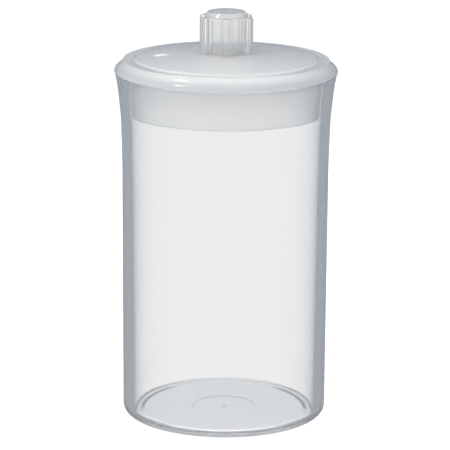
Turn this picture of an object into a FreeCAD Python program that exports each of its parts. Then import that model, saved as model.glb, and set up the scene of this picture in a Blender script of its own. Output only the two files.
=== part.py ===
import FreeCAD, Part
import math
import os
import Sketcher

# Disinfectant jar: a clear moulded jar with a flared mouth, a milky drop-in
# lid whose plug skirt hangs in the mouth, and a clear hollow fluted knob that
# is pressed over a boss on the lid.
#
# Frame: millimetres, +Z up, origin at the centre of the resting face.
# Every piece is a turned moulding about the Z axis; each profile lies in the
# XZ plane, with the radius along X and the height along Z.

doc = FreeCAD.newDocument("disinfectant_jar")
sheet = doc.addObject("Spreadsheet::Sheet", "Dims")

DIMS = [
    # --- jar: outside
    ("jar_foot_radius", 41.4, "outer edge of the underside recess"),
    ("jar_recess_radius", 39.4, "underside recess, top of its sloped wall"),
    ("jar_recess_depth", 0.4, "underside recess"),
    ("jar_gate_ring_radius", 15.4, "round gate well in the underside"),
    ("jar_gate_ring_depth", 0.75, "depth of the gate well from the foot"),
    ("jar_gate_radius", 1.2, "gate mark in the middle of the well"),
    ("jar_gate_depth", 0.35, "lower end of the gate mark"),
    ("jar_base_radius", 49.75, "outside radius at the base"),
    ("jar_waist_radius", 50.12, "outside radius where the wall starts to open"),
    ("jar_waist_height", 126.0, "height of that point"),
    ("jar_neck_low_radius", 50.75, "outside radius below the bend of the flare"),
    ("jar_neck_low_height", 146.0, "height of that point"),
    ("jar_neck_high_radius", 50.97, "outside radius above the bend"),
    ("jar_neck_high_height", 149.4, "height of that point"),
    ("jar_neck_curve", 48.0, "soft bend at the foot of the flare"),
    ("jar_lip_low_radius", 51.95, "outside radius where the lip curves out"),
    ("jar_lip_low_height", 159.0, "height of that point"),
    ("jar_lip_curve", 100.0, "outward curve of the lip"),
    ("jar_rim_radius", 53.75, "outside radius at the rim"),
    ("jar_rim_height", 170.4, "height of the rim"),
    # --- jar: inside
    ("jar_bore_rim_radius", 46.35, "inside radius at the rim"),
    ("jar_bore_neck_radius", 45.5, "inside radius below the mouth"),
    ("jar_bore_neck_height", 146.0, "height where the mouth's taper starts"),
    ("jar_bore_base_radius", 44.3, "inside radius at the floor"),
    ("jar_floor_height", 2.7, "top of the floor"),
    ("jar_heel_fillet", 4.5, "outside bottom edge"),
    ("jar_floor_fillet", 1.5, "inside bottom edge"),
    ("jar_rim_fillet", 0.8, "both edges of the rim"),
    # --- lid
    ("lid_boss_top", 183.0, "top of the boss that holds the knob"),
    ("lid_boss_radius", 8.1, "radius of that boss"),
    ("lid_land_height", 180.0, "flat land that the knob stands on"),
    ("lid_land_radius", 15.2, "radius of the land"),
    ("lid_dome_edge_radius", 43.9, "outer edge of the shallow dome"),
    ("lid_dome_edge_height", 177.05, "height of that edge"),
    ("lid_dome_curve", 286.0, "radius of curvature of the dome"),
    ("lid_step_radius", 44.6, "foot of the small step around the dome"),
    ("lid_ring_height", 176.3, "flat ring outside the dome"),
    ("lid_ring_radius", 49.5, "outer edge of the flat ring"),
    ("lid_edge_radius", 50.15, "top of the bevel"),
    ("lid_edge_height", 175.65, "height of the top of the bevel"),
    ("lid_edge_curve", 0.7, "rounding between ring and bevel"),
    ("lid_shoulder_radius", 52.85, "foot of the bevel"),
    ("lid_shoulder_height", 172.9, "height of the foot of the bevel"),
    ("lid_bevel_curve", 6.0, "hollow of the bevel"),
    ("lid_flange_radius", 53.97, "lower edge of the flange, on the rim"),
    ("lid_nose_curve", 3.0, "rounded edge of the flange"),
    ("lid_core_out_radius", 50.2, "coring groove under the flange, outside"),
    ("lid_core_in_radius", 47.3, "coring groove under the flange, inside"),
    ("lid_core_top_out", 49.6, "top of the groove, outside"),
    ("lid_core_top_in", 47.6, "top of the groove, inside"),
    ("lid_core_height", 173.8, "top of the groove"),
    ("lid_skirt_top_radius", 45.75, "outside of the skirt at the flange"),
    ("lid_skirt_top_height", 169.6, "start of the skirt"),
    ("lid_skirt_low_radius", 44.7, "outside of the skirt at its lower end"),
    ("lid_skirt_bottom", 150.5, "lower end of the skirt"),
    ("lid_skirt_in_low_radius", 42.7, "inside of the skirt at its lower end"),
    ("lid_skirt_in_top_radius", 43.9, "inside of the skirt at its top"),
    ("lid_skirt_in_top_height", 173.6, "top of the inside of the skirt"),
    ("lid_under_edge_radius", 43.0, "outer edge of the dome's underside"),
    ("lid_under_edge_height", 174.75, "height of that edge"),
    ("lid_under_curve", 284.0, "curvature of the dome's underside"),
    ("lid_under_boss_radius", 5.9, "hollow under the boss, mouth"),
    ("lid_under_boss_height", 177.85, "height of the hollow's mouth"),
    ("lid_hollow_radius", 5.6, "hollow under the boss, top"),
    ("lid_hollow_height", 181.0, "top of the hollow"),
    ("lid_skirt_fillet", 0.7, "both lower edges of the skirt"),
    # --- knob
    ("knob_bore_radius", 8.2, "hollow of the knob"),
    ("knob_bore_top", 197.2, "top of the hollow"),
    ("knob_core_radius", 10.4, "round core between the ribs"),
    ("knob_shoulder_height", 197.9, "foot of the top bevel"),
    ("knob_face_radius", 9.0, "flat top face"),
    ("knob_top", 199.6, "height of the top face"),
    ("knob_rib_radius", 13.8, "over the ribs"),
    ("knob_rib_width", 5.0, "width of a rib"),
    ("knob_rib_top", 197.3, "top of the ribs"),
    ("knob_rib_count", 6, "number of ribs"),
    ("knob_rib_turn", 3.5, "turn of the ribs about the axis, degrees"),
    ("knob_rib_fillet", 1.1, "rounding of the rib edges"),
    ("knob_face_fillet", 0.6, "rounding around the top face"),
    ("knob_bore_fillet", 0.8, "rounding at the top of the hollow"),
]
V = {}
for i, (name, value, note) in enumerate(DIMS):
    row = i + 1
    sheet.set("A%d" % row, name)
    sheet.set("B%d" % row, str(value))
    sheet.setAlias("B%d" % row, name)
    sheet.set("C%d" % row, note)
    V[name] = float(value)
doc.recompute()


def plane(body, role):
    for f in body.Origin.OriginFeatures:
        if f.Role == role:
            return f
    raise RuntimeError("no plane " + role)


def new_body(label):
    body = doc.addObject("PartDesign::Body", label)
    body.Label = label
    return body


def profile(body, name, points):
    """A closed profile in the body's XZ plane.

    points: (radius, height, curve) for each corner. radius and height are
    sheet names, or 0 for the axis / the resting plane. curve is None for a
    straight side to the next corner, or (sheet name of its radius, side) for
    an arc; side +1 bulges to the left of the direction of travel, -1 to the
    right.
    """
    sk = body.newObject("Sketcher::SketchObject", name)
    sk.AttachmentSupport = [(plane(body, "XZ_Plane"), "")]
    sk.MapMode = "FlatFace"
    val = lambda k: 0.0 if k == 0 else V[k]
    P = [FreeCAD.Vector(val(r), val(z), 0) for r, z, c in points]
    n = len(P)
    ends = []          # (start position, end position) of every geometry
    for i, (r, z, c) in enumerate(points):
        a, b = P[i], P[(i + 1) % n]
        if c is None:
            sk.addGeometry(Part.LineSegment(a, b), False)
            ends.append((1, 2))
        else:
            rad, side = V[c[0]], c[1]
            d = b - a
            half = d.Length / 2
            left = FreeCAD.Vector(-d.y, d.x, 0).normalize()
            rise = rad - (rad * rad - half * half) ** 0.5
            mid = (a + b) * 0.5 + left * (rise * side)
            # an arc of a sketch runs counter-clockwise, which is the way
            # along the profile only where it bulges to the right
            if side < 0:
                sk.addGeometry(Part.Arc(a, mid, b), False)
                ends.append((1, 2))
            else:
                sk.addGeometry(Part.Arc(b, mid, a), False)
                ends.append((2, 1))
    cons, names = [], []
    for i in range(n):
        j = (i + 1) % n
        cons.append(Sketcher.Constraint("Coincident", i, ends[i][1], j, ends[j][0]))
        names.append(None)
    for i, (r, z, c) in enumerate(points):
        p = ends[i][0]
        if r == 0:
            cons.append(Sketcher.Constraint("PointOnObject", i, p, -2))
            names.append(None)
        else:
            cons.append(Sketcher.Constraint("DistanceX", -1, 1, i, p, V[r]))
            names.append(("across_%d" % i, r))
        if z == 0:
            cons.append(Sketcher.Constraint("PointOnObject", i, p, -1))
            names.append(None)
        else:
            cons.append(Sketcher.Constraint("DistanceY", -1, 1, i, p, V[z]))
            names.append(("up_%d" % i, z))
        if c is not None:
            cons.append(Sketcher.Constraint("Radius", i, V[c[0]]))
            names.append(("curve_%d" % i, c[0]))
    sk.addConstraint(cons)
    for k, named in enumerate(names):
        if named:
            sk.renameConstraint(k, named[0])
            sk.setExpression("Constraints." + named[0], "Dims." + named[1])
    return sk


def revolve(body, sketch, name):
    rev = body.newObject("PartDesign::Revolution", name)
    rev.Profile = sketch
    rev.ReferenceAxis = (sketch, ["V_Axis"])
    rev.Angle = 360
    body.Tip = rev
    doc.recompute()
    return rev


def rim_edges(feature, radius, height):
    """Names of the full-circle edges of this radius at this height."""
    out = []
    for k, e in enumerate(feature.Shape.Edges):
        c = e.Curve
        if isinstance(c, Part.Circle) and abs(c.Radius - radius) < 0.02 \
                and abs(c.Center.z - height) < 0.02 and abs(c.Axis.z) > 0.999:
            out.append("Edge%d" % (k + 1))
    if not out:
        raise RuntimeError("no edge at radius %s height %s" % (radius, height))
    return out


def fillet(body, base, edges, size, name):
    before = base.Shape.Volume
    f = body.newObject("PartDesign::Fillet", name)
    f.Base = (base, edges)
    f.Radius = V[size]
    f.setExpression("Radius", "Dims." + size)
    body.Tip = f
    doc.recompute()
    if f.Shape.isNull() or abs(f.Shape.Volume - before) < 1e-6:
        raise RuntimeError("fillet %s changed nothing" % name)
    return f


# ---------------------------------------------------------------- jar_body
# The outside is a straight drafted wall that opens gently below the neck,
# flares as a cone and curves out at the lip. The bore only tapers a little, so
# the wall thickens towards the rim and the lid's skirt fits close inside it.
jar = new_body("jar_body")
sk = profile(jar, "JarProfile", [
    (0, "jar_floor_height", None),
    ("jar_bore_base_radius", "jar_floor_height", None),
    ("jar_bore_neck_radius", "jar_bore_neck_height", None),
    ("jar_bore_rim_radius", "jar_rim_height", None),
    ("jar_rim_radius", "jar_rim_height", ("jar_lip_curve", -1)),
    ("jar_lip_low_radius", "jar_lip_low_height", None),
    ("jar_neck_high_radius", "jar_neck_high_height", ("jar_neck_curve", -1)),
    ("jar_neck_low_radius", "jar_neck_low_height", None),
    ("jar_waist_radius", "jar_waist_height", None),
    ("jar_base_radius", 0, None),
    ("jar_foot_radius", 0, None),
    ("jar_recess_radius", "jar_recess_depth", None),
    ("jar_gate_ring_radius", "jar_recess_depth", None),
    ("jar_gate_ring_radius", "jar_gate_ring_depth", None),
    ("jar_gate_radius", "jar_gate_ring_depth", None),
    ("jar_gate_radius", "jar_gate_depth", None),
    (0, "jar_gate_depth", None),
])
f = revolve(jar, sk, "JarShell")
f = fillet(jar, f, rim_edges(f, V["jar_base_radius"], 0), "jar_heel_fillet", "JarHeel")
f = fillet(jar, f, rim_edges(f, V["jar_bore_base_radius"], V["jar_floor_height"]),
           "jar_floor_fillet", "JarFloorEdge")
f = fillet(jar, f, rim_edges(f, V["jar_rim_radius"], V["jar_rim_height"])
           + rim_edges(f, V["jar_bore_rim_radius"], V["jar_rim_height"]),
           "jar_rim_fillet", "JarRimEdges")

# --------------------------------------------------------------------- lid
# One moulding: skirt, flange with a rounded edge, hollow bevel, flat ring,
# small step, shallow dome, land and boss. A narrow groove under the flange
# keeps the wall even; the flange rests on the outer part of the jar's rim.
lid = new_body("lid")
sk = profile(lid, "LidProfile", [
    (0, "lid_boss_top", None),
    (0, "lid_hollow_height", None),
    ("lid_hollow_radius", "lid_hollow_height", None),
    ("lid_under_boss_radius", "lid_under_boss_height", ("lid_under_curve", 1)),
    ("lid_under_edge_radius", "lid_under_edge_height", None),
    ("lid_skirt_in_top_radius", "lid_skirt_in_top_height", None),
    ("lid_skirt_in_low_radius", "lid_skirt_bottom", None),
    ("lid_skirt_low_radius", "lid_skirt_bottom", None),
    ("lid_skirt_top_radius", "lid_skirt_top_height", None),
    ("lid_skirt_top_radius", "jar_rim_height", None),
    ("lid_core_in_radius", "jar_rim_height", None),
    ("lid_core_top_in", "lid_core_height", None),
    ("lid_core_top_out", "lid_core_height", None),
    ("lid_core_out_radius", "jar_rim_height", None),
    ("lid_flange_radius", "jar_rim_height", ("lid_nose_curve", -1)),
    ("lid_shoulder_radius", "lid_shoulder_height", ("lid_bevel_curve", 1)),
    ("lid_edge_radius", "lid_edge_height", ("lid_edge_curve", -1)),
    ("lid_ring_radius", "lid_ring_height", None),
    ("lid_step_radius", "lid_ring_height", None),
    ("lid_dome_edge_radius", "lid_dome_edge_height", ("lid_dome_curve", -1)),
    ("lid_land_radius", "lid_land_height", None),
    ("lid_boss_radius", "lid_land_height", None),
    ("lid_boss_radius", "lid_boss_top", None),
])
f = revolve(lid, sk, "LidShell")
f = fillet(lid, f, rim_edges(f, V["lid_skirt_low_radius"], V["lid_skirt_bottom"])
           + rim_edges(f, V["lid_skirt_in_low_radius"], V["lid_skirt_bottom"]),
           "lid_skirt_fillet", "LidSkirtEdges")

# -------------------------------------------------------------------- knob
# A hollow cap. The round core carries six ribs that stop below the top face.
knob = new_body("knob")
sk = profile(knob, "KnobProfile", [
    (0, "knob_top", None),
    (0, "knob_bore_top", None),
    ("knob_bore_radius", "knob_bore_top", None),
    ("knob_bore_radius", "lid_land_height", None),
    ("knob_core_radius", "lid_land_height", None),
    ("knob_core_radius", "knob_shoulder_height", None),
    ("knob_face_radius", "knob_top", None),
])
core = revolve(knob, sk, "KnobCore")
core_volume = core.Shape.Volume

rib_sk = knob.newObject("Sketcher::SketchObject", "RibOutline")
rib_sk.AttachmentSupport = [(plane(knob, "XY_Plane"), "")]
rib_sk.MapMode = "FlatFace"
rib_sk.AttachmentOffset = FreeCAD.Placement(
    FreeCAD.Vector(0, 0, V["lid_land_height"]), FreeCAD.Rotation())
rib_sk.setExpression("AttachmentOffset.Base.z", "Dims.lid_land_height")
# One rib, square to -Y, from inside the core's wall to the rib radius. Its
# outer face is an arc about the axis.
w = V["knob_rib_width"] / 2
ro = V["knob_rib_radius"]
ri = V["knob_bore_radius"] + 1.0
yo = (ro * ro - w * w) ** 0.5
a = FreeCAD.Vector(-w, -ri, 0)
b = FreeCAD.Vector(-w, -yo, 0)
c = FreeCAD.Vector(w, -yo, 0)
d = FreeCAD.Vector(w, -ri, 0)
rib_sk.addGeometry(Part.LineSegment(a, b), False)
rib_sk.addGeometry(Part.Arc(b, FreeCAD.Vector(0, -ro, 0), c), False)
rib_sk.addGeometry(Part.LineSegment(c, d), False)
rib_sk.addGeometry(Part.LineSegment(d, a), False)
rib_sk.addConstraint([
    Sketcher.Constraint("Coincident", 0, 2, 1, 1),
    Sketcher.Constraint("Coincident", 1, 2, 2, 1),
    Sketcher.Constraint("Coincident", 2, 2, 3, 1),
    Sketcher.Constraint("Coincident", 3, 2, 0, 1),
    Sketcher.Constraint("Vertical", 0),
    Sketcher.Constraint("Vertical", 2),
    Sketcher.Constraint("Coincident", 1, 3, -1, 1),
    Sketcher.Constraint("Symmetric", 3, 1, 3, 2, -2),
    Sketcher.Constraint("DistanceX", 3, 2, 3, 1, 2 * w),
    Sketcher.Constraint("Radius", 1, ro),
    Sketcher.Constraint("DistanceY", 3, 1, -1, 1, ri),
])
for k, name, expression in ((8, "rib_width", "Dims.knob_rib_width"),
                            (9, "rib_radius", "Dims.knob_rib_radius"),
                            (10, "rib_root", "Dims.knob_bore_radius + 1")):
    rib_sk.renameConstraint(k, name)
    rib_sk.setExpression("Constraints." + name, expression)
doc.recompute()

pad = knob.newObject("PartDesign::Pad", "Rib")
pad.Profile = rib_sk
pad.Length = V["knob_rib_top"] - V["lid_land_height"]
pad.setExpression("Length", "Dims.knob_rib_top - Dims.lid_land_height")
knob.Tip = pad
doc.recompute()
if pad.Shape.isNull() or pad.Shape.Volume <= core_volume + 1:
    raise RuntimeError("the rib adds nothing")
# The rib's two long outer edges and its top edge are rounded before the
# pattern copies it.
edges = []
for k, e in enumerate(pad.Shape.Edges):
    mids = e.valueAt((e.FirstParameter + e.LastParameter) / 2)
    rr = (mids.x ** 2 + mids.y ** 2) ** 0.5
    upright = abs(e.BoundBox.ZLength - (V["knob_rib_top"] - V["lid_land_height"])) < 0.01
    at_top = e.BoundBox.ZLength < 0.01 and abs(mids.z - V["knob_rib_top"]) < 0.01
    if (upright and abs(rr - ro) < 0.02) or (at_top and rr > ro - 0.05):
        edges.append("Edge%d" % (k + 1))
rib_round = fillet(knob, pad, edges, "knob_rib_fillet", "RibRounding")

pat = knob.newObject("PartDesign::PolarPattern", "Ribs")
pat.Originals = [pad, rib_round]
axis = [f2 for f2 in knob.Origin.OriginFeatures if f2.Role == "Z_Axis"][0]
pat.Axis = (axis, [""])
pat.Angle = 360
pat.Occurrences = 6
pat.setExpression("Occurrences", "Dims.knob_rib_count")
knob.Tip = pat
doc.recompute()
one_rib = rib_round.Shape.Volume - core_volume
if pat.Shape.Volume < core_volume + 5.9 * one_rib:
    raise RuntimeError("rib pattern incomplete: %.1f" % pat.Shape.Volume)
f = fillet(knob, pat, rim_edges(pat, V["knob_face_radius"], V["knob_top"]),
           "knob_face_fillet", "KnobFaceEdge")
f = fillet(knob, f, rim_edges(f, V["knob_bore_radius"], V["knob_bore_top"]),
           "knob_bore_fillet", "KnobBoreTop")
knob.Placement = FreeCAD.Placement(
    FreeCAD.Vector(0, 0, 0),
    FreeCAD.Rotation(FreeCAD.Vector(0, 0, 1), V["knob_rib_turn"]))
knob.setExpression("Placement.Rotation.Angle", "Dims.knob_rib_turn * 1 deg")

doc.recompute()

# ------------------------------------------------------------------ export
for o in doc.Objects:
    if "Invalid" in o.State or "Error" in o.State:
        raise RuntimeError("%s failed: %s" % (o.Label, o.State))
os.makedirs("parts", exist_ok=True)
for body in (jar, lid, knob):
    shape = body.Shape
    if shape.isNull() or not shape.isValid():
        raise RuntimeError(body.Label + " has no valid shape")
    if len(shape.Solids) != 1:
        raise RuntimeError("%s has %d solids" % (body.Label, len(shape.Solids)))
    bb = shape.BoundBox
    print("%-9s volume %.1f mm3  x %.2f..%.2f  z %.2f..%.2f" % (
        body.Label, shape.Volume, bb.XMin, bb.XMax, bb.ZMin, bb.ZMax))
    shape.exportStep("parts/%s.step" % body.Label)
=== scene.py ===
import bpy
import math
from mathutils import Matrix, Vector, noise


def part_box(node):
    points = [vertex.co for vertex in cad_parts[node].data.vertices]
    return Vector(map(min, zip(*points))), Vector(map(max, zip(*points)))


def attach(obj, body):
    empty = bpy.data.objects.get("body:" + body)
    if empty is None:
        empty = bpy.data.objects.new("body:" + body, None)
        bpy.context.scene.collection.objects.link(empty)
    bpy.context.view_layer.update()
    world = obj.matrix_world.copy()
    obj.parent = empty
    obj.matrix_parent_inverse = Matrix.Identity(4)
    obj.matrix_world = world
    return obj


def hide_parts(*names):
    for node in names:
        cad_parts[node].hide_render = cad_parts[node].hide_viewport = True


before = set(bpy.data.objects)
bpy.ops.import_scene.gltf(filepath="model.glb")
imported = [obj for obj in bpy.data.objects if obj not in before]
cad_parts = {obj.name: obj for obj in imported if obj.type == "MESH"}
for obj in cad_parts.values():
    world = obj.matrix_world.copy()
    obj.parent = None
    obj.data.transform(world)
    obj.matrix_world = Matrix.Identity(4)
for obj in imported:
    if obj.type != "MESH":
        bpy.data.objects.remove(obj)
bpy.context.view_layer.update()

# ------------------------------------------------------------------ camera
# A long lens a little above the lid, square to the jar.
cam_data = bpy.data.cameras.new("camera")
cam_data.lens = 227.49
cam_data.sensor_width = 36.0
cam_data.clip_start = 0.05
cam_data.clip_end = 60.0
cam = bpy.data.objects.new("camera", cam_data)
bpy.context.scene.collection.objects.link(cam)
cam.location = (0.0, -1.350, 0.426)
cam.rotation_mode = "XYZ"
PITCH = math.radians(13.824)
ROLL = math.radians(0.40)
from mathutils import Matrix
m = Matrix.Rotation(math.pi / 2 - PITCH, 4, "X") @ Matrix.Rotation(ROLL, 4, "Z")
cam.rotation_euler = m.to_euler("XYZ")
bpy.context.scene.camera = cam
bpy.context.scene.view_settings.view_transform = "Standard"
bpy.context.scene.view_settings.look = "None"
# light runs a long way inside the clear floor, from wall to wall
cy = bpy.context.scene.cycles
cy.max_bounces = 32
cy.glossy_bounces = 24
cy.transmission_bounces = 24
cy.sample_clamp_indirect = 2.0

# --------------------------------------------------------------- positions
MM = 0.001
jar_lo, jar_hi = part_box("jar_body")
lid_lo, lid_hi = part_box("lid")
knob_lo, knob_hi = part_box("knob")
RIM = jar_hi.z / MM             # height of the rim
LAND = knob_lo.z / MM           # where the knob stands
SKIRT = lid_lo.z / MM           # lower end of the skirt
TOP = knob_hi.z / MM            # top face of the knob


# ------------------------------------------------------------ mesh helpers
def rounded(points, step=4.0, support=0.35):
    """A polyline through (r, z, fillet) corners, with each corner rounded.

    Long straight runs get points every `step` mm, and a point `support` mm
    from each end, so that smooth shading stays on the rounding.
    """
    n = len(points)
    P = [Vector((p[0], p[1])) for p in points]
    out = [P[0].copy()]

    def straight(a, b):
        d = (b - a).length
        if d < 1e-6:
            return
        u = (b - a) / d
        if d > 3 * support:
            out.append(a + u * support)
            k = max(1, int(math.ceil((d - 2 * support) / step)))
            for i in range(1, k):
                out.append(a + u * (support + (d - 2 * support) * i / k))
            out.append(b - u * support)
        out.append(b.copy())

    last = P[0]
    for i in range(1, n - 1):
        f = points[i][2]
        a, b, c = P[i - 1], P[i], P[i + 1]
        u, v = (a - b).normalized(), (c - b).normalized()
        ang = math.acos(max(-1, min(1, u.dot(v))))
        if f <= 0 or ang > math.pi - 1e-4:
            straight(last, b)
            last = b
            continue
        t = f / math.tan(ang / 2)
        t = min(t, 0.49 * (a - b).length, 0.49 * (c - b).length)
        f = t * math.tan(ang / 2)
        p, q = b + u * t, b + v * t
        centre = b + (u + v).normalized() * (f / math.sin(ang / 2))
        straight(last, p)
        turn = math.pi - ang
        k = max(2, int(math.ceil(math.degrees(turn) / 9.0)))
        s = (p - centre)
        e = (q - centre)
        a0 = math.atan2(s.y, s.x)
        a1 = math.atan2(e.y, e.x)
        da = (a1 - a0 + math.pi) % (2 * math.pi) - math.pi
        for j in range(1, k + 1):
            w = a0 + da * j / k
            out.append(centre + Vector((math.cos(w), math.sin(w))) * f)
        last = q
    straight(last, P[-1])
    return out


def arc(a, b, rad, side, n=14):
    """Points between a and b, ends left out, on an arc of radius rad in mm.
    side +1 bulges to the left of the way from a to b."""
    a, b = Vector(a), Vector(b)
    d = b - a
    half = d.length / 2
    u = d.normalized()
    left = Vector((-u.y, u.x)) * side
    h = math.sqrt(rad * rad - half * half)
    centre = (a + b) / 2 - left * h
    s, e = a - centre, b - centre
    a0, a1 = math.atan2(s.y, s.x), math.atan2(e.y, e.x)
    da = (a1 - a0 + math.pi) % (2 * math.pi) - math.pi
    return [(centre.x + rad * math.cos(a0 + da * k / n),
             centre.y + rad * math.sin(a0 + da * k / n), 0.0) for k in range(1, n)]


def lathe(name, line, seg=256, wobble=None):
    """A closed turned mesh from a profile that starts and ends on the axis.

    line: points (r, z) in mm from the axis round the section back to it, in
    the order that puts the material on the left of the way along.
    """
    verts, faces, rows = [], [], []
    for p in line:
        r, z = p[0], p[1]
        if r < 1e-5:
            rows.append([len(verts)])
            verts.append((0.0, 0.0, z * MM))
            continue
        row = []
        for k in range(seg):
            a = 2 * math.pi * k / seg
            rr = r + (wobble(r, z, a) if wobble else 0.0)
            row.append(len(verts))
            verts.append((rr * math.cos(a) * MM, rr * math.sin(a) * MM, z * MM))
        rows.append(row)
    for A, B in zip(rows[:-1], rows[1:]):
        if len(A) == 1 and len(B) == 1:
            continue
        for k in range(seg):
            j = (k + 1) % seg
            if len(A) == 1:
                faces.append((A[0], B[j], B[k]))
            elif len(B) == 1:
                faces.append((A[k], A[j], B[0]))
            else:
                faces.append((A[k], A[j], B[j], B[k]))
    me = bpy.data.meshes.new(name)
    me.from_pydata(verts, [], faces)
    me.validate()
    import bmesh
    bm = bmesh.new()
    bm.from_mesh(me)
    bmesh.ops.recalc_face_normals(bm, faces=bm.faces)
    bm.to_mesh(me)
    bm.free()
    for p in me.polygons:
        p.use_smooth = True
    ob = bpy.data.objects.new(name, me)
    bpy.context.scene.collection.objects.link(ob)
    return ob


# --------------------------------------------------------------- materials
def principled(name, **values):
    mat = bpy.data.materials.new(name)
    mat.use_nodes = True
    nt = mat.node_tree
    b = next(n for n in nt.nodes if n.type == "BSDF_PRINCIPLED")
    for k, v in values.items():
        b.inputs[k.replace("_", " ")].default_value = v
    return mat, nt, b


def node(nt, kind, **values):
    n = nt.nodes.new(kind)
    for k, v in values.items():
        if hasattr(n, k):
            setattr(n, k, v)
        else:
            n.inputs[k.replace("_", " ")].default_value = v
    return n


def surface_detail(nt, bsdf, rough, spread, scale, bump, stretch=(1, 1, 1), tint=None,
                   height_shade=None, rim_shade=None):
    """Fine moulding texture: roughness and colour that vary a little, as they do where the melt flowed, and a
    faint bump. Optionally, painted shade that darkens the colour above a height and towards the outer rim."""
    tc = node(nt, "ShaderNodeTexCoord")
    mp = node(nt, "ShaderNodeMapping")
    mp.inputs["Scale"].default_value = stretch
    nt.links.new(tc.outputs["Object"], mp.inputs["Vector"])
    n1 = node(nt, "ShaderNodeTexNoise", Scale=scale, Detail=5.0, Roughness=0.6)
    nt.links.new(mp.outputs["Vector"], n1.inputs["Vector"])
    mr = node(nt, "ShaderNodeMapRange")
    mr.inputs["From Min"].default_value = 0.3
    mr.inputs["From Max"].default_value = 0.7
    mr.inputs["To Min"].default_value = rough
    mr.inputs["To Max"].default_value = rough + spread
    nt.links.new(n1.outputs["Fac"], mr.inputs["Value"])
    nt.links.new(mr.outputs["Result"], bsdf.inputs["Roughness"])
    n2 = node(nt, "ShaderNodeTexNoise", Scale=scale * 2.3, Detail=3.0, Roughness=0.5)
    nt.links.new(mp.outputs["Vector"], n2.inputs["Vector"])
    bp = node(nt, "ShaderNodeBump", Strength=bump, Distance=0.0004)
    nt.links.new(n2.outputs["Fac"], bp.inputs["Height"])
    nt.links.new(bp.outputs["Normal"], bsdf.inputs["Normal"])
    if tint:
        n3 = node(nt, "ShaderNodeTexNoise", Scale=scale * 0.45, Detail=2.0, Roughness=0.5)
        nt.links.new(mp.outputs["Vector"], n3.inputs["Vector"])
        mx = node(nt, "ShaderNodeMix", data_type="RGBA")
        mx.inputs[6].default_value = tint[0]
        mx.inputs[7].default_value = tint[1]
        nt.links.new(n3.outputs["Fac"], mx.inputs[0])
        colour = mx.outputs[2]
        if height_shade:       # painted shade: base colour darkened above a height, dimming the lid's top and flange
            low, high, shade = height_shade
            sp = node(nt, "ShaderNodeSeparateXYZ")
            nt.links.new(tc.outputs["Object"], sp.inputs[0])
            zr = node(nt, "ShaderNodeMapRange", interpolation_type="SMOOTHSTEP")
            zr.inputs["From Min"].default_value = low
            zr.inputs["From Max"].default_value = high
            nt.links.new(sp.outputs["Z"], zr.inputs["Value"])
            mu = node(nt, "ShaderNodeMix", data_type="RGBA", blend_type="MULTIPLY")
            nt.links.new(zr.outputs["Result"], mu.inputs[0])
            nt.links.new(colour, mu.inputs[6])
            mu.inputs[7].default_value = shade
            colour = mu.outputs[2]
        if rim_shade:        # painted shade: base colour darkened towards the outer rim, dimming the flange's nose and bevel
            low, high, shade = rim_shade
            flat = node(nt, "ShaderNodeVectorMath", operation="MULTIPLY")
            flat.inputs[1].default_value = (1.0, 1.0, 0.0)
            nt.links.new(tc.outputs["Object"], flat.inputs[0])
            ln = node(nt, "ShaderNodeVectorMath", operation="LENGTH")
            nt.links.new(flat.outputs["Vector"], ln.inputs[0])
            rr = node(nt, "ShaderNodeMapRange", interpolation_type="SMOOTHSTEP")
            rr.inputs["From Min"].default_value = low
            rr.inputs["From Max"].default_value = high
            nt.links.new(ln.outputs["Value"], rr.inputs["Value"])
            me = node(nt, "ShaderNodeMix", data_type="RGBA", blend_type="MULTIPLY")
            nt.links.new(rr.outputs["Result"], me.inputs[0])
            nt.links.new(colour, me.inputs[6])
            me.inputs[7].default_value = shade
            colour = me.outputs[2]
        nt.links.new(colour, bsdf.inputs["Base Color"])
    return mp


clear_mat, nt, b = principled(
    "clear_plastic", Base_Color=(0.985, 0.988, 0.992, 1), IOR=1.57,
    Transmission_Weight=0.98, Roughness=0.03)
surface_detail(nt, b, 0.045, 0.03, 60.0, 0.03, (1, 1, 0.25),
               ((0.978, 0.983, 0.990, 1), (0.992, 0.993, 0.994, 1)))

milky_mat, nt, b = principled(
    "milky_plastic", Base_Color=(0.975, 0.98, 0.985, 1), IOR=1.25,
    Transmission_Weight=0.60, Roughness=0.32, Coat_Weight=1.0, Coat_Roughness=0.06)
surface_detail(nt, b, 0.29, 0.08, 45.0, 0.05, (1, 1, 1),
               ((0.965, 0.973, 0.98, 1), (0.995, 0.995, 0.99, 1)),
               # painted shade: darker above z 0.1665 to 0.173 m, over the lid's top and flange
               (0.1665, 0.173, (0.765, 0.772, 0.78, 1)),
               # painted shade: darker from r 0.050 to 0.0532 m, on the flange's nose and bevel
               (0.0500, 0.0532, (0.79, 0.80, 0.81, 1)))

knob_mat, nt, b = principled(
    "knob_plastic", Base_Color=(0.965, 0.97, 0.975, 1), IOR=1.50,
    Transmission_Weight=0.80, Roughness=0.16, Coat_Weight=0.6, Coat_Roughness=0.08)
surface_detail(nt, b, 0.10, 0.06, 90.0, 0.05, (1, 1, 0.4),
               ((0.88, 0.888, 0.898, 1), (0.94, 0.94, 0.935, 1)))

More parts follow.
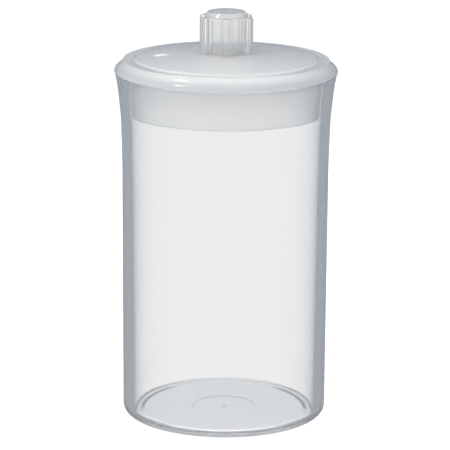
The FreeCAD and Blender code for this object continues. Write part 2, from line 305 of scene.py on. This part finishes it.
# --------------------------------------------------------------------- jar
FLOOR = 2.7
lip_low, neck_high, neck_low = (51.95, 159.0), (50.97, 149.4), (50.75, 146.0)
jar_line = rounded([
    (0, FLOOR, 0),
    (44.3, FLOOR, 1.5),
    (45.5, 146.0, 60.0),
    (46.35, RIM - 0.08, 0.8),
    (53.75, RIM - 0.08, 0.8)]
    + arc((53.75, RIM - 0.08), lip_low, 100.0, -1, 10)
    + [lip_low + (0.0,), neck_high + (0.0,)]
    + arc(neck_high, neck_low, 48.0, -1, 6)
    + [neck_low + (0.0,),
    (50.12, 126.0, 400.0),
    (49.75, 0, 4.5),
    (41.4, 0, 1.2),
    (39.4, 0.4, 1.2),
    (15.4, 0.4, 0.12),
    (15.4, 0.75, 0.12),
    (1.2, 0.75, 0.1),
    (1.2, 0.35, 0.1),
    (0, 0.35, 0),
], step=4.0)
jar = lathe("jar_body_clear", jar_line, 256)
jar.data.materials.append(clear_mat)
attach(jar, "jar")
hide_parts("jar_body")

# --------------------------------------------------------------------- lid
dome_a, dome_b = (43.9, 177.05), (15.2, LAND)
nose_a, nose_b = (53.97, RIM), (52.85, 172.9)
bev_b = (50.15, 175.65)
lid_points = (
    [(0, 181.0, 0), (5.6, 181.0, 0.5), (5.9, 177.85, 0.3)]
    + arc((5.9, 177.85), (43.0, 174.75), 284.0, 1)
    + [(43.0, 174.75, 0.6), (43.9, 173.6, 0.6), (42.7, SKIRT, 0.7), (44.7, SKIRT, 0.7),
       (45.75, 169.6, 0.3), (45.75, RIM, 0.0), (47.3, RIM, 0.3), (47.6, 173.8, 0.5),
       (49.6, 173.8, 0.5), (50.2, RIM, 0.3), (53.97, RIM, 0.2)]
    + arc(nose_a, nose_b, 3.0, -1, 10)
    + [(52.85, 172.9, 0.35)]
    + arc(nose_b, bev_b, 6.0, 1, 8)
    + [(50.15, 175.65, 0.3), (49.98, 176.1, 0.3), (49.5, 176.3, 0.3), (44.6, 176.3, 0.5), (43.9, 177.05, 0.45)]
    + arc(dome_a, dome_b, 286.0, -1, 16)
    + [(15.2, LAND, 0.5), (8.1, LAND, 0.4), (8.1, 183.0, 0.5), (0, 183.0, 0)])
lid_line = rounded(lid_points, step=2.5, support=0.2)
lid = lathe("lid_milky", lid_line, 256)
lid.data.materials.append(milky_mat)
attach(lid, "lid")
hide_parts("lid")


# -------------------------------------------------------------------- knob
def smooth(a, b, x):
    t = max(0.0, min(1.0, (x - a) / (b - a)))
    return t * t * (3 - 2 * t)


CORE, RIB, WIDTH, TURN = 10.4, 13.8, 5.0, math.radians(3.5)
RIB_TOP = 197.3


def rib_outline():
    """Radius of the fluted outside against angle, as points round one turn:
    six ribs of even width with rounded outer corners and soft roots."""
    import itertools
    pts = []
    hw, f_out, f_root = WIDTH / 2, 1.1, 0.5
    for k in range(6):
        mid = math.radians(-90 + 60 * k) + TURN
        local = []
        # root fillet, side, corner, face, corner, side, root fillet
        yo = math.sqrt(RIB * RIB - hw * hw)
        yc = math.sqrt(CORE * CORE - hw * hw)
        n = 6
        side = []
        # half profile from the face's middle to the root (x >= 0), y outward
        cx = hw - f_out
        cy = math.sqrt((RIB - f_out) ** 2 - cx * cx)
        a_face = math.atan2(cy, cx)
        for i in range(5):
            t = math.pi / 2 + (a_face - math.pi / 2) * i / 5
            side.append((RIB * math.cos(t), RIB * math.sin(t)))
        for i in range(n + 1):
            t = a_face * (1 - i / n)
            side.append((cx + f_out * math.cos(t), cy + f_out * math.sin(t)))
        ry = math.sqrt((CORE + f_root) ** 2 - (hw + f_root) ** 2)
        for i in range(1, 5):
            side.append((hw, cy + (ry - cy) * i / 4))
        a_root = math.atan2(ry, hw + f_root)
        for i in range(1, 5):
            t0, t1 = math.pi, math.pi + a_root
            t = t0 + (t1 - t0) * i / 4
            side.append((hw + f_root + f_root * math.cos(t), ry + f_root * math.sin(t)))
        half = side
        whole = [(-x, y) for x, y in reversed(half[1:])] + half
        # whole runs from the left root to the right root; turn to mid
        for x, y in reversed(whole):
            ang = math.atan2(y, x) - math.pi / 2 + mid
            rr = math.hypot(x, y)
            pts.append((ang, rr))
        # arc of core to the next rib
        a_end = pts[-1][0]
        nxt = mid + math.radians(60) - (a_end - mid)
        for i in range(1, 7):
            pts.append((a_end + (nxt - a_end) * i / 7, CORE))
    return pts


def build_knob():
    ring = rib_outline()
    seg = len(ring)
    verts, faces, rows = [], [], []

    def row_at(z, f):
        """f: radius of the outline at (angle, full radius)."""
        row = []
        for ang, rr in ring:
            r = f(rr)
            row.append(len(verts))
            verts.append((r * math.cos(ang) * MM, r * math.sin(ang) * MM, z * MM))
        rows.append(row)

    def pole(z):
        rows.append([len(verts)])
        verts.append((0, 0, z * MM))

    z0 = LAND + 0.06
    # outside, from the foot up to the tops of the ribs
    grow = lambda e: (lambda rr: rr - e)
    row_at(z0, grow(0.15))
    row_at(z0 + 0.05, grow(0.05))
    row_at(z0 + 0.2, grow(0.0))
    n = 9
    for i in range(1, n):
        row_at(z0 + 0.2 + (RIB_TOP - 1.3 - z0 - 0.2) * i / n, grow(0.0))
    fr = 1.1
    for i in range(0, 8):
        t = math.radians(90 * i / 7)
        d = fr * (1 - math.cos(t))
        z = RIB_TOP - fr + fr * math.sin(t)
        row_at(z, lambda rr, d=d: max(min(rr, CORE), rr - d) if rr > CORE + 0.01 else CORE)
    # the rib tops run in to the core, flat
    for share in (0.6, 0.25, 0.06, 0.0):
        row_at(RIB_TOP + (0.02 if share == 0 else 0), lambda rr, s=share: CORE + (max(rr - fr, CORE) - CORE) * s)
    # core above the ribs, bevel and top face
    tail = rounded([(CORE, RIB_TOP + 0.02, 0), (CORE, 197.9, 0.35), (9.0, TOP, 0.6), (0, TOP, 0)],
                   step=1.5, support=0.15)[1:]
    for p in tail:
        if p.x < 1e-5:
            pole(p.y)
        else:
            row_at(p.y, lambda rr, r=p.x: r)
    # inside, from the foot up to the closed end
    first = len(rows)
    inner = rounded([(8.2, z0, 0.0), (8.2, 197.2, 0.8), (0, 197.2, 0)], step=2.5, support=0.2)
    for p in inner:
        if p.x < 1e-5:
            pole(p.y)
        else:
            row_at(p.y, lambda rr, r=p.x: r)

    def skin(A, B):
        for k in range(seg):
            j = (k + 1) % seg
            if len(A) == 1:
                faces.append((A[0], B[j], B[k]))
            elif len(B) == 1:
                faces.append((A[k], A[j], B[0]))
            else:
                faces.append((A[k], A[j], B[j], B[k]))
    for A, B in zip(rows[:first - 1], rows[1:first]):
        skin(A, B)
    for A, B in zip(rows[first:-1], rows[first + 1:]):
        skin(A, B)
    skin(rows[first], rows[0])          # the flat foot ring
    me = bpy.data.meshes.new("knob_fluted")
    me.from_pydata(verts, [], faces)
    me.validate()
    import bmesh
    bm = bmesh.new()
    bm.from_mesh(me)
    bmesh.ops.remove_doubles(bm, verts=bm.verts, dist=2e-6)
    bmesh.ops.recalc_face_normals(bm, faces=bm.faces)
    for e in bm.edges:
        if len(e.link_faces) == 2 and e.calc_face_angle(0) > math.radians(32):
            e.smooth = False
    for f in bm.faces:
        f.smooth = True
    bm.to_mesh(me)
    bm.free()
    ob = bpy.data.objects.new("knob_fluted", me)
    bpy.context.scene.collection.objects.link(ob)
    return ob


knob = build_knob()
knob.data.materials.append(knob_mat)
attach(knob, "lid")
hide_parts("knob")

# ------------------------------------------------------------------- stage
floor_mat, nt, b = principled("floor_paper", Base_Color=(0.22, 0.22, 0.22, 1), Roughness=0.9,
                              Emission_Color=(1.0, 1.0, 1.0, 1), Emission_Strength=0.86)
b.inputs["Specular IOR Level"].default_value = 0.0
fm = bpy.data.meshes.new("floor")
R, K = 6.0, 96
fm.from_pydata([(R * math.cos(2 * math.pi * k / K), R * math.sin(2 * math.pi * k / K), 0) for k in range(K)],
               [], [tuple(range(K))])
floor = bpy.data.objects.new("floor", fm)
bpy.context.scene.collection.objects.link(floor)
fm.materials.append(floor_mat)
floor.location.z = -0.0004
floor.visible_transmission = False
floor.visible_glossy = False
floor.visible_diffuse = False

# A white sweep seen directly and through the clear parts, with cooler and
# dimmer walls around the studio that show in what the surfaces reflect.
world = bpy.data.worlds.new("studio")
bpy.context.scene.world = world
world.use_nodes = True
nt = world.node_tree
bg = next(n for n in nt.nodes if n.type == "BACKGROUND")
tc = node(nt, "ShaderNodeTexCoord")
sep = node(nt, "ShaderNodeSeparateXYZ")
nt.links.new(tc.outputs["Generated"], sep.inputs[0])
path = node(nt, "ShaderNodeLightPath")

WHITE = (1.0, 1.0, 1.0, 1)
WALL = (0.34, 0.375, 0.41, 1)
SKY = (1.15, 1.15, 1.15, 1)
LIT = (2.3, 2.3, 2.29, 1)
SHADE = (1.45, 1.46, 1.49, 1)


def choose(fac, a, b):
    n = node(nt, "ShaderNodeMix", data_type="RGBA")
    nt.links.new(fac, n.inputs[0])
    for i, v in ((6, a), (7, b)):
        if isinstance(v, tuple):
            n.inputs[i].default_value = v
        else:
            nt.links.new(v, n.inputs[i])
    return n.outputs[2]


def at_least_one(out):
    n = node(nt, "ShaderNodeMath", operation="GREATER_THAN")
    n.inputs[1].default_value = 0.5
    nt.links.new(out, n.inputs[0])
    return n.outputs[0]


high = node(nt, "ShaderNodeMapRange", interpolation_type="SMOOTHSTEP")
high.inputs["From Min"].default_value = math.sin(math.radians(30))
high.inputs["From Max"].default_value = math.sin(math.radians(60))
steep = node(nt, "ShaderNodeMath", operation="ABSOLUTE")
nt.links.new(sep.outputs["Z"], steep.inputs[0])
nt.links.new(steep.outputs[0], high.inputs["Value"])
mirrored = choose(high.outputs["Result"], WALL, SKY)
seen = choose(at_least_one(path.outputs["Glossy Depth"]), WHITE, mirrored)
toward = node(nt, "ShaderNodeVectorMath", operation="DOT_PRODUCT")
toward.inputs[1].default_value = Vector((-0.62, -0.62, 0.48)).normalized()
nt.links.new(tc.outputs["Generated"], toward.inputs[0])
side = node(nt, "ShaderNodeMapRange")
side.inputs["From Min"].default_value = -0.7
side.inputs["From Max"].default_value = 0.9
nt.links.new(toward.outputs["Value"], side.inputs["Value"])
lit = choose(side.outputs["Result"], SHADE, LIT)
seen = choose(at_least_one(path.outputs["Diffuse Depth"]), seen, lit)
nt.links.new(seen, bg.inputs["Color"])
bg.inputs["Strength"].default_value = 1.0


def area(name, loc, target, size, power, colour=(1, 1, 1)):
    L = bpy.data.lights.new(name, "AREA")
    L.shape = "RECTANGLE"
    L.size, L.size_y = size
    L.energy = power
    L.color = colour
    ob = bpy.data.objects.new(name, L)
    bpy.context.scene.collection.objects.link(ob)
    ob.location = loc
    d = Vector(target) - Vector(loc)
    ob.rotation_mode = "QUATERNION"
    ob.rotation_quaternion = d.to_track_quat("-Z", "Y")
    return ob


key = area("key_left", (-0.70, -0.25, 1.25), (0, 0, 0.15), (0.22, 0.22), 3.0, (1.0, 0.98, 0.95))
key.visible_transmission = False
# a small lamp low behind, which only glints on the lid and the knob's top
glint = area("glint_back", (-0.16, 1.95, 0.575), (-0.03, 0, 0.178), (0.03, 0.05), 0.007)
glint.visible_transmission = False
